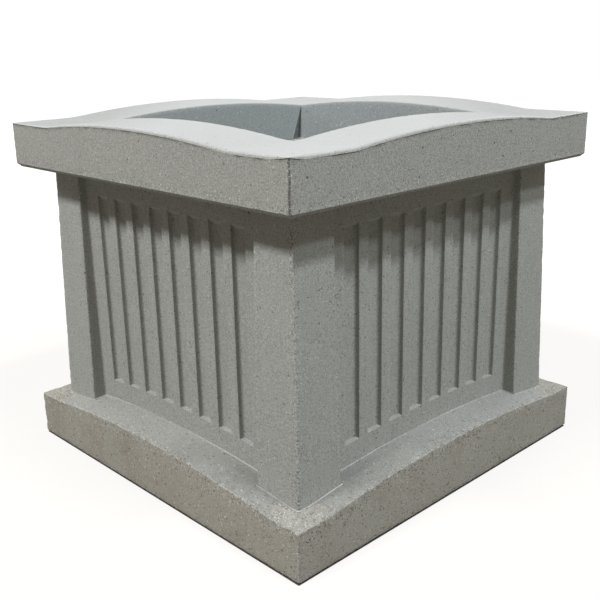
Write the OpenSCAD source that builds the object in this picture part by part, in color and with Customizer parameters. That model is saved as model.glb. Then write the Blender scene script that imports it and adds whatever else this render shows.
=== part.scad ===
// Square planter in cast stone: a plinth with arched washes, a battered body with fluted
// panels between corner pilasters, and an overhanging rim whose top arches on each side.
// Millimetres, Z up, origin on the ground under the middle of the planter.

/* [Plinth] */
// Width of the plinth over its outer faces
plinth_w = 762; // [740:1:840]
// Height of the plinth from its underside to its outer corner arris
plinth_h = 86; // [70:1:120]
// Rise of the arched top edge in the middle of each side
plinth_arch_rise = 20; // [8:1:30]
// Length of the flat between the end of an arch and the corner of the plinth
plinth_flat = 51; // [36:1:90]
// Radius of the cove at each end of the arch
plinth_cove_r = 180; // [60:5:300]
// Outward fall of the plinth top, in degrees
wash_angle = 5.7; // [2:0.1:9]
// Depth of the seat for the body below the corner arris
seat_depth = 8; // [4:1:14]

/* [Body] */
// Set-back of the foot of the body behind the face of the plinth
body_setback = 41; // [34:1:50]
// Distance that a pilaster leans inward over the height of the body
body_lean = 11; // [6:1:16]
// Height of the body casting
body_h = 474; // [380:1:600]
// Width of a pilaster at the head of the body
pilaster_w = 84; // [74:1:110]
// Recess of the panel behind the pilasters at the head of the body
panel_recess = 15; // [10:1:20]
// Thickness of the wall behind the face of a panel
wall_t = 85; // [80:1:100]
// Width of the cut across each inside corner
cavity_cut = 26; // [10:1:40]

/* [Flutes] */
// Number of flutes in a panel
flute_count = 8; // [4:1:9]
// Width of a flute
flute_w = 32.5; // [20:0.5:36]
// Depth of a flute
flute_d = 9.5; // [6:0.5:12]
// Radius in the two back corners of a flute
flute_r = 5; // [2:0.5:5.5]
// Plain margin between a pilaster and the nearest flute
flute_side_margin = 38; // [24:1:50]
// Plain margin between the head of the body and the flutes
flute_head_margin = 47; // [30:1:90]
// Plain margin between the arch of the plinth and the flutes
flute_foot_margin = 38; // [24:1:90]
// Outward fall of the sill of a flute over its depth
flute_sill_fall = 1; // [0.5:0.5:8]
// Inward fall of the head of a flute over its depth
flute_head_fall = 8; // [2:0.5:10]

/* [Rim] */
// Overhang of the rim past the head of the body
rim_overhang = 52; // [40:1:80]
// Height of the rim from its underside to its corners
rim_h = 76; // [64:1:110]
// Rise of the arched top in the middle of each side
rim_arch_rise = 15.5; // [6:0.5:28]
// Length of the flat between the end of an arch and the corner of the rim
rim_flat = 116; // [90:1:140]
// Radius of the cove at each end of the arch
rim_cove_r = 235; // [60:5:300]
// Chamfer along the lower outer edges of the rim
rim_chamfer = 4; // [2:0.5:8]

/* [Joints] */
// Thickness of the mortar beds under the body and under the rim
bed_t = 3; // [2:0.5:6]
// Width of the pointed joint around the foot of the body
pointing_w = 2; // [1:0.5:4]
// Depth to which the joint under the rim is raked back
rake_d = 6; // [3:0.5:12]
// Diameter of the dowels in both beds
dowel_d = 12; // [10:1:16]
// Distance that each dowel reaches into the casting on either side of its bed
dowel_reach = 42; // [25:1:50]
// Distance from the face of a pilaster, at its head, to the middle of each dowel
dowel_inset = 39; // [34:1:43]

/* [Reinforcement] */
// Diameter of the plinth bars and of the uprights in the body
bar_d = 10; // [8:1:12]
// Diameter of the level bars in the body and in the rim
wall_bar_d = 8; // [6:1:8]
// Concrete over the lower plinth bars, and over the ends of all bars
cover = 30; // [25:1:35]
// Clear gap between bars that cross
tie_gap = 0.3; // [0.2:0.1:1]
// Distance from the planting space to the middle of the level bars in the body
wall_bar_inset = 41; // [38:1:46]
// Number of level bars in each wall of the body
wall_bar_levels = 2; // [2:1:5]
// Length of the level bars past the upright bars, in each wall of the body
wall_bar_lap = 15; // [10:1:30]
// Distance from the corner of the planting space to each upright bar, along the wall
upright_inset = 29; // [15:1:60]

/* [Fittings] */
// Outside diameter of the lifting sockets
socket_d = 24; // [22:1:30]
// Bore of the lifting sockets
socket_bore = 16; // [12:1:18]
// Length of the lifting sockets
socket_len = 55; // [45:1:60]
// Depth of the bore in the lifting sockets
socket_bore_depth = 34; // [24:1:34]
// Distance from the walls of the planting space to the middle of each lifting socket
socket_inset = 79; // [70:1:95]
// Diameter of the cross pins through the lifting sockets
pin_d = 8; // [6:1:10]
// Length of the cross pins
pin_len = 90; // [60:1:100]
// Outside diameter of the drain sleeve
sleeve_d = 60; // [56:1:75]
// Wall of the drain sleeve
sleeve_wall = 4; // [3:0.5:6]
// Wall of the widened top of the sleeve, which takes the strainer spigot
sleeve_top_wall = 2; // [1:0.5:2.5]
// Gap between the strainer spigot and the step in the sleeve
step_gap = 2; // [1:0.5:4]
// Diameter of the strainer flange
strainer_d = 84; // [78:1:110]
// Thickness of the strainer plate
strainer_t = 3; // [2:0.5:5]
// Depth of the strainer spigot in the sleeve
strainer_spigot = 10; // [6:1:16]
// Clearance of the strainer spigot in the sleeve
strainer_gap = 0.3; // [0.2:0.1:0.8]
// Wall of the strainer spigot
spigot_wall = 4; // [2:0.5:4]
// Diameter of each hole in the strainer
strainer_hole_d = 6; // [4:0.5:7]
// Number of rings of holes around the one in the middle of the strainer
strainer_rings = 2; // [1:1:2]
// Number of holes that each ring has more than the one inside it
holes_per_ring = 6; // [4:1:6]
// Plain land between the outer ring of holes and the spigot
strainer_land = 1; // [0.5:0.5:2]
// Side of each rubber bearing pad
pad_w = 70; // [50:1:90]
// Thickness of each rubber bearing pad
pad_t = 6; // [4:0.5:10]
// Height that the pads stand proud of the underside
pad_proud = 2; // [1:0.5:3]
// Distance from the faces of the plinth to the middle of each bearing pad
pad_inset = 71; // [56:1:90]

/* [Hidden] */

// Facets of a full circle on small parts, and on the flat arcs of the arches
$fn = 64;
arc_fn = 1440;
// Depth of the toe below the flat at each end of an arch
arch_toe = 0.1;
// Depth of an arch's root in the casting below it
arch_root = 4;
// Length by which a cut runs past the face that it opens
past = 1;
// Larger than the planter in every direction
far = 2000;

stainless = [0.72, 0.73, 0.74];
mild_steel = [0.42, 0.36, 0.32];

// Levels, from the ground up
plinth_z = pad_proud;
plinth_corner_z = plinth_z + plinth_h;
seat_z = plinth_corner_z - seat_depth;
body_z = seat_z + bed_t;
body_top_z = body_z + body_h;
rim_z = body_top_z + bed_t;
rim_corner_z = rim_z + rim_h;

// Distances of the faces from the middle of the planter
plinth_half = plinth_w / 2;
foot_half = plinth_half - body_setback;
head_half = foot_half - body_lean;
panel_half = head_half - panel_recess;
cavity_half = panel_half - wall_t;
rim_half = head_half + rim_overhang;
plinth_arch_half = plinth_half - plinth_flat;
rim_arch_half = rim_half - rim_flat;
batter = atan(body_lean / body_h);

// Places of what is cast in, or fixed, at the corners and along the walls
dowel_pos = head_half - dowel_inset;
socket_pos = cavity_half - socket_inset;
pad_pos = plinth_half - pad_inset;
wall_bar_pos = cavity_half + wall_bar_inset;
upright_pos = cavity_half - upright_inset;
rim_bar_in = cavity_half + cover + wall_bar_d / 2;
rim_bar_out = rim_half - cover - wall_bar_d / 2;

panel_w = 2 * (head_half - pilaster_w);
flute_pitch = (panel_w - 2 * flute_side_margin - flute_w) / (flute_count - 1);
flute_head_z = body_top_z - flute_head_margin;

SIDES = [0, 90, 180, 270];
CORNERS = [[-1, -1], [1, -1], [1, 1], [-1, 1]];

// An arch is a crown arc that runs out tangentially through a cove at each end. The cove would
// level out a toe below the flat beside it, so it meets that flat at a small angle.
function crown_r(half, rise, cove_r) =
    (half * half + pow(rise + arch_toe, 2)) / (2 * (rise + arch_toe)) - cove_r;
function turn_u(half, crown, cove_r) = half * crown / (crown + cove_r);
function cove_z(u, half, cove_r) = cove_r - arch_toe - sqrt(cove_r * cove_r - pow(half - u, 2));
function arch_z(u, half, rise, cove_r) =
    let (crown = crown_r(half, rise, cove_r), turn = turn_u(half, crown, cove_r))
    abs(u) >= half ? 0
    : abs(u) > turn ? max(0, cove_z(abs(u), half, cove_r))
    : rise - crown + sqrt(crown * crown - u * u);

// Face of an arch above the flats at its ends, with a root below them by which it is joined on
module arch_face(half, rise, cove_r) {
    crown = crown_r(half, rise, cove_r);
    turn = turn_u(half, crown, cove_r);
    intersection() {
        translate([0, rise - crown]) circle(r = crown, $fn = arc_fn);
        translate([-turn, -arch_root]) square([2 * turn, rise + arch_root]);
    }
    for (side = [0, 1]) mirror([side, 0]) difference() {
        translate([turn, -arch_root])
            square([half - turn, cove_z(turn, half, cove_r) + arch_root]);
        translate([half, cove_r - arch_toe]) circle(r = cove_r, $fn = arc_fn);
    }
}

// Block centred on the Z axis
module slab(w, z0, z1) {
    translate([-w / 2, -w / 2, z0]) cube([w, w, z1 - z0]);
}

module at_corners(pos) {
    for (corner = CORNERS) translate([corner[0] * pos, corner[1] * pos, 0]) children();
}

// Outside of the body between two levels, grown sideways: battered pilasters and upright panels
module body_outside(grow, z0, z1) {
    difference() {
        slab(2 * foot_half + 4 * abs(grow), z0, z1);
        for (side = SIDES) rotate([0, 0, side]) {
            translate([foot_half + grow, -far / 2, body_z])
                rotate([0, -batter, 0])
                    translate([0, 0, -far / 2]) cube([far, far, far]);
            translate([panel_half + grow, -panel_w / 2 + grow, z0 - past])
                cube([far, panel_w - 2 * grow, z1 - z0 + 2 * past]);
        }
    }
}

// Planting space with cut corners
module cavity(z0, z1) {
    difference() {
        slab(2 * cavity_half, z0, z1);
        for (side = SIDES) rotate([0, 0, side + 45])
            translate([cavity_half * sqrt(2) - cavity_cut / sqrt(2), -far / 2, z0 - past])
                cube([far, far, z1 - z0 + 2 * past]);
    }
}

// Opening of the rim: square at the top edge, with corner cuts that widen to those of the body
module rim_opening() {
    cut_lean = atan(cavity_cut / sqrt(2) / rim_h);
    difference() {
        slab(2 * cavity_half, rim_z - past, rim_corner_z + rim_arch_rise + past);
        for (side = SIDES) rotate([0, 0, side + 45])
            translate([cavity_half * sqrt(2), -far / 2, rim_corner_z])
                rotate([0, cut_lean, 0]) translate([0, 0, -far / 2]) cube([far, far, far]);
    }
}

// A straight bar along each side, the pair along X a step above the pair along Y
module bar_square(pos, half_length, level, step) {
    for (turn = [0, 1], side = [-1, 1])
        rotate([0, 0, 90 * turn]) translate([-half_length, side * pos, level + (1 - turn) * step])
            rotate([0, 90, 0]) cylinder(d = wall_bar_d, h = 2 * half_length);
}

module dowels(bed_z) {
    at_corners(dowel_pos) translate([0, 0, bed_z - dowel_reach])
        cylinder(d = dowel_d, h = 2 * dowel_reach + bed_t);
}

// Straight bars in pairs: beside the drain, and outside the dowels
module bar_layer(level) {
    drain_row = sleeve_d / 2 + cover + bar_d;
    edge_row = dowel_pos + dowel_d / 2 + cover;
    for (row = [drain_row, edge_row], side = [-1, 1])
        translate([-plinth_half + cover, side * row, level])
            rotate([0, 90, 0]) cylinder(d = bar_d, h = plinth_w - 2 * cover);
}

lower_bar_z = plinth_z + cover + bar_d / 2;
upper_bar_z = lower_bar_z + bar_d + tie_gap;

module lower_bars() { bar_layer(lower_bar_z); }
module upper_bars() { rotate([0, 0, 90]) bar_layer(upper_bar_z); }

module body_bar_squares() {
    lowest = body_z + cover + wall_bar_d / 2;
    pitch = (body_h - 2 * cover - wall_bar_d) / (wall_bar_levels - 1);
    for (i = [0:wall_bar_levels - 1])
        bar_square(wall_bar_pos, upright_pos + wall_bar_lap, lowest + i * pitch, 0);
}

module upright_bars() {
    inset = wall_bar_pos - wall_bar_d / 2 - tie_gap - bar_d / 2;
    for (side = SIDES) rotate([0, 0, side]) for (hand = [-1, 1])
        translate([inset, hand * upright_pos, body_z + cover])
            cylinder(d = bar_d, h = body_h - 2 * cover);
}

module rim_bar_squares() {
    step = wall_bar_d + tie_gap;
    for (pos = [rim_bar_in, rim_bar_out])
        bar_square(pos, rim_half - cover, rim_z + (rim_h - step) / 2, step);
}

pin_z = seat_z - (socket_len + socket_bore_depth) / 2;

module pins() {
    at_corners(socket_pos) translate([-pin_len / 2, 0, pin_z])
        rotate([0, 90, 0]) cylinder(d = pin_d, h = pin_len);
}

module socket_bodies() {
    at_corners(socket_pos) translate([0, 0, seat_z - socket_len])
        cylinder(d = socket_d, h = socket_len);
}

module pads() {
    at_corners(pad_pos) slab(pad_w, 0, pad_t);
}

// Plinth before the seat is cut: slab, outward wash and an arch on each side. Each arch runs
// from behind the panel plane to past the outer face, and leans outward with the wash.
module plinth_block() {
    arch_run = plinth_half - panel_half + plinth_arch_rise + 2 * past;
    intersection() {
        union() {
            difference() {
                slab(plinth_w, plinth_z, plinth_corner_z + plinth_half * tan(wash_angle));
                for (side = SIDES) rotate([0, 0, side])
                    translate([plinth_half, -far / 2, plinth_corner_z])
                        rotate([0, wash_angle, 0]) translate([-far / 2, 0, 0]) cube([far, far, far]);
            }
            for (side = SIDES) rotate([0, 0, side])
                translate([0, -plinth_half, plinth_corner_z]) rotate([wash_angle, 0, 0])
                    translate([0, plinth_half - panel_half + past, 0]) rotate([90, 0, 0])
                        linear_extrude(arch_run)
                            arch_face(plinth_arch_half, plinth_arch_rise, plinth_cove_r);
        }
        slab(plinth_w, plinth_z, rim_z);
    }
}

// Pocket of the body in the plinth, and the planting space above the floor
module seat_pocket() {
    body_outside(pointing_w, seat_z, rim_z);
}

module plinth() {
    color([0.56, 0.55, 0.52]) difference() {
        plinth_block();
        seat_pocket();
        dowels(seat_z);
        lower_bars();
        upper_bars();
        socket_bodies();
        pins();
        translate([0, 0, plinth_z - past]) cylinder(d = sleeve_d, h = seat_z - plinth_z + 2 * past);
        pads();
    }
}

module plinth_joint() {
    color([0.68, 0.68, 0.66]) difference() {
        intersection() {
            plinth_block();
            seat_pocket();
        }
        body_outside(0, body_z, rim_z);
        cavity(seat_z - past, body_z + past);
        dowels(seat_z);
    }
}

// One flute, cut into the panel on the side that faces -Y, from its foot to the common head.
// Its sill falls outward and its head falls inward.
module flute(u) {
    foot_z = plinth_corner_z + (plinth_half - panel_half) * tan(wash_angle) + flute_foot_margin
        + arch_z(u, plinth_arch_half, plinth_arch_rise, plinth_cove_r);
    sill_slope = atan(flute_sill_fall / flute_d);
    head_slope = atan(flute_head_fall / flute_d);
    difference() {
        translate([u - flute_w / 2, -panel_half - past, foot_z])
            linear_extrude(flute_head_z - foot_z) {
                square([flute_w, flute_d + past - flute_r]);
                translate([flute_r, 0]) square([flute_w - 2 * flute_r, flute_d + past]);
                for (x = [flute_r, flute_w - flute_r])
                    translate([x, flute_d + past - flute_r]) circle(r = flute_r);
            }
        translate([u - flute_w, -panel_half, foot_z]) rotate([sill_slope, 0, 0])
            translate([0, -far / 2, -far]) cube([2 * flute_w, far, far]);
        translate([u - flute_w, -panel_half, flute_head_z]) rotate([-head_slope, 0, 0])
            translate([0, -far / 2, 0]) cube([2 * flute_w, far, far]);
    }
}

module body() {
    color([0.60, 0.61, 0.58]) difference() {
        body_outside(0, body_z, body_top_z);
        cavity(body_z - past, body_top_z + past);
        for (side = SIDES) rotate([0, 0, side]) for (i = [0:flute_count - 1])
            flute((i - (flute_count - 1) / 2) * flute_pitch);
        dowels(seat_z);
        dowels(body_top_z);
        body_bar_squares();
        upright_bars();
    }
}

module rim_joint() {
    color([0.50, 0.49, 0.47]) difference() {
        body_outside(-rake_d, body_top_z, rim_z);
        cavity(body_top_z - past, rim_z + past);
        dowels(body_top_z);
    }
}

module rim() {
    color([0.66, 0.67, 0.65]) difference() {
        union() {
            slab(2 * rim_half, rim_z, rim_corner_z);
            for (side = SIDES) rotate([0, 0, side])
                translate([0, -cavity_half, rim_corner_z]) rotate([90, 0, 0])
                    linear_extrude(rim_half - cavity_half)
                        arch_face(rim_arch_half, rim_arch_rise, rim_cove_r);
        }
        rim_opening();
        for (side = SIDES) rotate([0, 0, side])
            translate([rim_half - rim_chamfer, -far / 2, rim_z])
                rotate([0, 45, 0]) cube([far, far, far]);
        dowels(body_top_z);
        rim_bar_squares();
    }
}

module plinth_dowels() { color(stainless) dowels(seat_z); }
module rim_dowels() { color(stainless) dowels(body_top_z); }
module plinth_bars_lower() { color(mild_steel) lower_bars(); }
module plinth_bars_upper() { color(mild_steel) upper_bars(); }
module body_bars() { color(mild_steel) body_bar_squares(); }
module body_uprights() { color(mild_steel) upright_bars(); }
module rim_bars() { color(mild_steel) rim_bar_squares(); }
module socket_pins() { color(mild_steel) pins(); }

module lifting_sockets() {
    color([0.78, 0.75, 0.62]) difference() {
        socket_bodies();
        at_corners(socket_pos) translate([0, 0, seat_z - socket_bore_depth])
            cylinder(d = socket_bore, h = socket_bore_depth + past);
        pins();
    }
}

module drain_sleeve() {
    color([0.80, 0.80, 0.78]) difference() {
        translate([0, 0, plinth_z]) cylinder(d = sleeve_d, h = seat_z - plinth_z);
        translate([0, 0, plinth_z - past])
            cylinder(d = sleeve_d - 2 * sleeve_wall, h = seat_z - plinth_z + 2 * past);
        translate([0, 0, seat_z - strainer_spigot - step_gap])
            cylinder(d = sleeve_d - 2 * sleeve_top_wall, h = strainer_spigot + step_gap + past);
    }
}

// Flanged plate on the floor, with a spigot in the sleeve and rings of holes
module drain_strainer() {
    spigot_d = sleeve_d - 2 * sleeve_top_wall - 2 * strainer_gap;
    spigot_bore = spigot_d - 2 * spigot_wall;
    ring_pitch = ((spigot_bore - strainer_hole_d) / 2 - strainer_land) / strainer_rings;
    color([0.30, 0.31, 0.31]) difference() {
        union() {
            translate([0, 0, seat_z]) cylinder(d = strainer_d, h = strainer_t);
            translate([0, 0, seat_z - strainer_spigot]) cylinder(d = spigot_d, h = strainer_spigot);
        }
        translate([0, 0, seat_z - strainer_spigot - past])
            cylinder(d = spigot_bore, h = strainer_spigot + past);
        translate([0, 0, seat_z - past]) for (ring = [0:strainer_rings]) {
            holes = max(1, ring * holes_per_ring);
            for (i = [0:holes - 1]) rotate([0, 0, i * 360 / holes])
                translate([ring * ring_pitch, 0, 0])
                    cylinder(d = strainer_hole_d, h = strainer_t + 2 * past);
        }
    }
}

module bearing_pads() { color([0.16, 0.16, 0.16]) pads(); }

plinth();
body();
rim();
plinth_joint();
rim_joint();
plinth_dowels();
rim_dowels();
plinth_bars_lower();
plinth_bars_upper();
body_bars();
body_uprights();
rim_bars();
lifting_sockets();
socket_pins();
drain_sleeve();
drain_strainer();
bearing_pads();
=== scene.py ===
"""Square planter in cast stone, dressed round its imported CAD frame: a plinth, a fluted body and
an arched rim, bedded on mortar, with their dowels, bars and fittings. Metres, Z up."""

import itertools
import math

import bpy
import numpy as np
from mathutils import Matrix, Vector


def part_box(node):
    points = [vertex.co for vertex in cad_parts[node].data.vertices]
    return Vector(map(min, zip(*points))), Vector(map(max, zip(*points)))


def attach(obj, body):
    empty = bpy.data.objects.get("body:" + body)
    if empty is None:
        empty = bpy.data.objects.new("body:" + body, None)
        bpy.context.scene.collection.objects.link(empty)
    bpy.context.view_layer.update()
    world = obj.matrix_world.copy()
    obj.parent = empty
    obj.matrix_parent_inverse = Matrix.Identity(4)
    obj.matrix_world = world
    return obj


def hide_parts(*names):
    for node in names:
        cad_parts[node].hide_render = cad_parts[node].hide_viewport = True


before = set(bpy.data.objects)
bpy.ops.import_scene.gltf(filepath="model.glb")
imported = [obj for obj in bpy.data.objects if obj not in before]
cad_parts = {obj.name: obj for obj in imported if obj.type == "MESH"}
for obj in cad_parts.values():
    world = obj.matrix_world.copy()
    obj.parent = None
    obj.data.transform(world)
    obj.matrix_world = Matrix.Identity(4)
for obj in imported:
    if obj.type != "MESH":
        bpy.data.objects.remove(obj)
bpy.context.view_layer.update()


# Plinth
# The base block, one casting with the floor of the planting space. Its top falls outward and
# rises to a low arch on each side, and it has a pocket in which the body is bedded. It was
# turned out of its mould face down, so its arrises are the roughest of the three castings.

plinth_low, plinth_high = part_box("plinth")
plinth_half = plinth_high.x
plinth_under = plinth_low.z
plinth_side_height = 0.086
plinth_arris_z = plinth_under + plinth_side_height
plinth_arch = dict(half=0.330, rise=0.020, cove=0.180)
wash = math.tan(math.radians(5.7))
plinth_corner_r = 0.0015
under_inset = 0.004
under_ease = 0.003
top_ease = 0.0018
drain_r = 0.030

# The pocket follows the body's foot: panels between pilasters, a joint's width clear all round.
body_low, body_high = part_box("body")
foot_half = body_high.x
foot_corner_r = 0.002
panel_n = 0.314
pilaster_u = 0.245
bed = 0.003
pointing = 0.002
floor_z = body_low.z - bed
floor_wear = 0.0006
pocket_floor_z = floor_z - floor_wear

# An arch starts this far under the flats beside it, so that its coves meet them at a clean line.
arch_toe = 0.0001


def arch_height(u, half, rise, cove):
    """Height of an arched edge above its flats: a crown arc that runs out through two coves."""
    reach = np.minimum(np.abs(u), half)
    top = rise + arch_toe
    crown = (half ** 2 + top ** 2) / (2 * top) - cove
    turn = half * crown / (crown + cove)
    in_crown = rise - crown + np.sqrt(np.maximum(crown ** 2 - reach ** 2, 0))
    in_cove = cove - arch_toe - np.sqrt(np.maximum(cove ** 2 - (half - reach) ** 2, 0))
    return np.where(reach > turn, np.maximum(in_cove, 0), in_crown)


def whole_side(half_side):
    """Stations across one side, from those between its middle and the next corner diagonal."""
    u, n = half_side
    u_all = np.concatenate([-u[..., ::-1], u[..., 1:-1]], axis=-1)
    n_all = np.concatenate([n[..., ::-1], n[..., 1:-1]], axis=-1)
    return u_all, n_all


def round_the_square(u, n):
    """Plan points of one side, u along it and n out from the middle, repeated on all four."""
    sides = [(u, -n), (n, u), (-u, n), (-n, -u)]
    return np.concatenate([np.stack(side, axis=-1) for side in sides], axis=-2)


def ring_of(half_side):
    """Plan points all the way round, from half a side."""
    return round_the_square(*whole_side(half_side))


def with_height(plan, z):
    """Plan points with their height."""
    return np.concatenate([plan, np.broadcast_to(z, plan.shape[:-1])[..., None]], axis=-1)


def quarter(steps):
    """Sine and cosine of angles from 0 to 90 degrees."""
    angle = np.linspace(0, math.pi / 2, steps)
    return np.sin(angle), np.cos(angle)


def stone_noise(points, size, seed):
    """Smooth random values from 0 to 1 at points, with features about as large as size."""
    cell_weights = np.array([73856093, 19349663, 83492791])
    seed_weight = 2654435761
    mixer = 73244475
    low_bits = 0xFFFFFFFF
    scaled = points / size
    cell = np.floor(scaled)
    part = scaled - cell
    ease = part * part * (3 - 2 * part)
    cell = cell.astype(np.int64)
    total = np.zeros(points.shape[:-1])
    for step in itertools.product((0, 1), repeat=3):
        mixed = (cell + np.array(step)) @ cell_weights + seed * seed_weight
        for _ in range(2):
            mixed = ((mixed >> 16) ^ mixed) * mixer & low_bits
        value = ((mixed >> 16) ^ mixed) / low_bits
        total += value * np.where(step, ease, 1 - ease).prod(axis=-1)
    return total


def grid_normals(grid):
    """Outward unit normals of a closed grid whose rows run up the outside, anticlockwise."""
    along = np.roll(grid, -1, axis=1) - np.roll(grid, 1, axis=1)
    up = np.roll(grid, -1, axis=0) - np.roll(grid, 1, axis=0)
    normal = np.cross(along, up)
    return normal / np.maximum(np.linalg.norm(normal, axis=-1, keepdims=True), 1e-12)


def worn(grid, arris, ripple, nibble, chip, seed):
    """The grid with shallow ripples all over and its arrises nibbled and chipped, inward only."""
    long_wave = 0.085
    short_wave = 0.021
    crumb_size = 0.0042
    chip_size = 0.011
    waves = stone_noise(grid, long_wave, seed) * 0.7 + stone_noise(grid, short_wave, seed + 1) * 0.3
    crumbs = stone_noise(grid, crumb_size, seed + 2)
    chips = np.clip(stone_noise(grid, chip_size, seed + 3) * 1.9 - 1.0, 0, 1)
    inward = ripple * waves + arris * (nibble * crumbs + chip * chips)
    return grid - grid_normals(grid) * inward[..., None]


def cast_piece(name, grid, **masks):
    """A closed casting from a grid that joins up both ways, with masks that its finish reads."""
    rows, columns = grid.shape[:2]
    here = np.arange(rows * columns).reshape(rows, columns)
    right = np.roll(here, -1, axis=1)
    quads = np.stack([here, right, np.roll(right, -1, axis=0), np.roll(here, -1, axis=0)], axis=-1)
    mesh = bpy.data.meshes.new(name)
    mesh.from_pydata(grid.reshape(-1, 3).tolist(), [], quads.reshape(-1, 4).tolist())
    for mask, values in masks.items():
        mesh.attributes.new(mask, "FLOAT", "POINT").data.foreach_set("value", values.ravel())
    mesh.shade_smooth()
    mesh.set_sharp_from_angle(angle=math.radians(38))
    piece = bpy.data.objects.new(name, mesh)
    bpy.context.scene.collection.objects.link(piece)
    return piece


def near_edge(distance, width):
    """1 at an edge, falling away to 0 within about twice the width."""
    return np.exp(-(distance / width) ** 2)


# Stations across half a side of the pocket, from its middle: along the panel, out along the
# pilaster's return wall, along its face, and round the corner to the diagonal.
panel_steps = 43
wall_stations = 5
face_steps = 19
corner_steps = 4
foot_stations = panel_steps + wall_stations + face_steps + corner_steps


def half_corner(n, round_r):
    """Stations round a corner, from just past the end of the flat up to the diagonal."""
    sine, cosine = quarter(2 * corner_steps + 1)
    turn = slice(1, corner_steps + 1)
    return n - round_r * (1 - sine[turn]), n - round_r * (1 - cosine[turn])


def outline_at_foot(grow):
    """Half a side of the body's outline at its foot, grown outward."""
    step_u = pilaster_u - grow
    face_n = foot_half + grow
    panel_u = np.linspace(0, step_u, panel_steps + 1)[:-1]
    wall_n = np.linspace(panel_n + grow, face_n, wall_stations)
    face_u = np.linspace(step_u, face_n - foot_corner_r, face_steps + 1)[1:]
    corner_u, corner_n = half_corner(face_n, foot_corner_r)
    u = np.concatenate([panel_u, np.full(wall_stations, step_u), face_u, corner_u])
    n = np.concatenate([np.full(panel_steps, panel_n + grow), wall_n,
                        np.full(face_steps, face_n), corner_n])
    return u, n


def plinth_outline(n):
    """Half a side of a plain square with the same stations as the outline at the foot."""
    wall_spread = 0.010
    step_u = pilaster_u - pointing
    panel_u = np.linspace(0, step_u, panel_steps + 1)[:-1]
    wall_u = np.linspace(step_u, pilaster_u + wall_spread, wall_stations)
    face_u = np.linspace(wall_u[-1], n - plinth_corner_r, face_steps + 1)[1:]
    corner_u, corner_n = half_corner(n, plinth_corner_r)
    u = np.concatenate([panel_u, wall_u, face_u, corner_u])
    return u, np.concatenate([np.full(len(u) - corner_steps, n), corner_n])


def circle_ring(radius, like):
    """A round hole's edge, one point for each point of the ring that it is joined to."""
    angle = np.arctan2(like[:, 1], like[:, 0])
    return np.stack([radius * np.cos(angle), radius * np.sin(angle)], axis=-1)


def wash_z(plan):
    """Height of the plinth's top at plan points."""
    u = np.abs(plan).min(axis=-1)
    n = np.abs(plan).max(axis=-1)
    lean = math.sqrt(1 + wash ** 2)
    return plinth_arris_z + (plinth_half - n) * wash + arch_height(u, **plinth_arch) * lean


# Where the top is bare is a distance from the middle of a side, and where painted shade darkens it
# is a share of the way from the middle of the planter to its near corner.
bare_from = 0.295
bare_blend = 0.025
wash_shade_level = 0.54
wash_shade_from = 0.46
wash_shade_blend = 0.30
wash_shade_off_bare = 0.25


def bare_corner(plan):
    """1 where the top's cement skin has worn off at a corner and left coarse grains, else 0."""
    return np.clip((np.abs(plan).min(axis=-1) - bare_from) / bare_blend, 0, 1)


def wash_painted_shade(plan):
    """Painted shade on the top, darker toward the near corner but lighter where it is bare."""
    toward_near = (plan[:, 0] - plan[:, 1]) / (2 * plinth_half)
    shade_here = wash_shade_level * np.clip((toward_near - wash_shade_from) / wash_shade_blend, 0, 1)
    return shade_here * (1 - wash_shade_off_bare * bare_corner(plan))


plinth_rows = []
plinth_edge = []
plinth_top = []
plinth_soil = []


def plinth_row(plan, z, edge, top=0.0, soil=0.0):
    """The next row of the plinth's grid, with its masks: worn edge, smooth top and painted shade.
    """
    plinth_rows.append(with_height(plan, z))
    for rows, value in ((plinth_edge, edge), (plinth_top, top), (plinth_soil, soil)):
        rows.append(np.broadcast_to(value, len(plan)))


# From the drain out under the plinth, up its sides, in over the wash, down into the pocket and
# back over its floor to the drain. Wear reaches a given width from an arris, and is strongest at
# the top one.
corner_wear = 0.008
side_wear = 0.016
top_wear = 0.007
under_worn = 0.6
side_worn = 0.8
bare_worn = 0.8
outer_ring = ring_of(plinth_outline(plinth_half))
at_corner = near_edge(np.hypot(*(plinth_half - np.abs(outer_ring)).T), corner_wear)

drain_edge = circle_ring(drain_r, outer_ring)
under_edge = ring_of(plinth_outline(plinth_half - under_inset))
for share in np.linspace(0, 1, 8)[:-1]:
    plinth_row(drain_edge + (under_edge - drain_edge) * share, plinth_under, 0)
for s, c in zip(*quarter(4)):
    ring = ring_of(plinth_outline(plinth_half - under_ease * (1 - s)))
    plinth_row(ring, plinth_under + under_ease * (1 - c), np.maximum(at_corner, under_worn * s))

side_top = wash_z(outer_ring) - top_ease
side_low = plinth_under + under_ease
for share in np.linspace(0, 1, 24)[1:-1]:
    z = side_low + (side_top - side_low) * share
    under_top = side_worn * near_edge(side_top - z, side_wear)
    plinth_row(outer_ring, z, np.maximum(at_corner, under_top))
for s, c in zip(*quarter(5)):
    ring = ring_of(plinth_outline(plinth_half - top_ease * (1 - c)))
    plinth_row(ring, wash_z(ring) - top_ease * (1 - s), 1, top=1 - c,
               soil=wash_painted_shade(ring) * (1 - c * c))

arris_ring = ring_of(plinth_outline(plinth_half - top_ease))
foot_ring = ring_of(outline_at_foot(pointing))
for share in np.linspace(0, 1, 15)[1:]:
    ring = arris_ring + (foot_ring - arris_ring) * share
    past_arris = plinth_half - np.abs(ring).max(axis=-1)
    grit = np.maximum(near_edge(past_arris, top_wear), bare_worn * bare_corner(ring))
    plinth_row(ring, wash_z(ring), grit, top=1 - bare_corner(ring), soil=wash_painted_shade(ring))

foot_top = wash_z(foot_ring)
for share in (0.4, 1):
    plinth_row(foot_ring, foot_top + (pocket_floor_z - foot_top) * share, 0)
for share in np.linspace(0, 1, 22)[1:]:
    plinth_row(foot_ring + (drain_edge - foot_ring) * share, pocket_floor_z, 0)

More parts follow.
